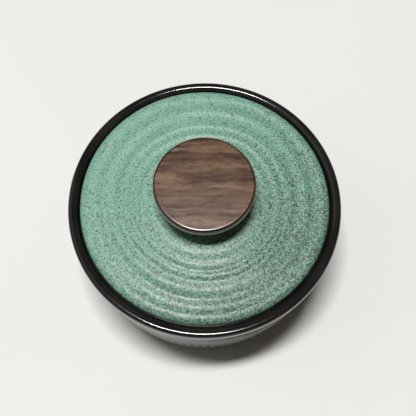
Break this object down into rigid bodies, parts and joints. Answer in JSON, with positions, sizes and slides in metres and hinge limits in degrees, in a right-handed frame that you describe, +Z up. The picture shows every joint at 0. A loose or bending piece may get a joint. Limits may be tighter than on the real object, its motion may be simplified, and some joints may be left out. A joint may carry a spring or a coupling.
{
  "type": "go stone bowl",
  "caption": "Round ceramic bowl for go stones: black fluted body, inset green speckled lid with soft throwing rings and a flat wooden knob.",
  "frame": {"origin": "centre of the foot, on the surface that the bowl stands on", "axes": "+Z up along the axis of the bowl and lid, +X to the right and -Y towards the viewer"},
  "size_m": [0.12, 0.12, 0.0872],
  "materials": {
    "bowl_glaze": "glossy black glaze",
    "lid_glaze": "satin speckled glaze",
    "silicone": "soft matte",
    "knob_wood": "satin lacquer",
    "insert_brass": "machined",
    "cushion_rubber": "matte",
    "steel": "satin"
  },
  "bodies": {
    "bowl": {"bowl": "bowl_glaze"},
    "lid_ring": {"lid_ring": "silicone"},
    "lid": {"lid": "lid_glaze", "knob": "knob_wood", "knob_insert": "insert_brass", "knob_cushion": "cushion_rubber", "washer_cushion": "cushion_rubber", "screw_washer": "steel", "knob_screw": "steel"}
  },
  "joints": [
    {"name": "lid_lift", "type": "slide", "parent": "bowl", "child": "lid_ring", "axis": [0, 0, 1], "range_m": [0, 0.08]},
    {"name": "lid_turn", "type": "hinge", "parent": "lid_ring", "child": "lid", "pos_m": [0, 0, 0.0617], "axis": [0, 0, 1], "continuous": true}
  ]
}
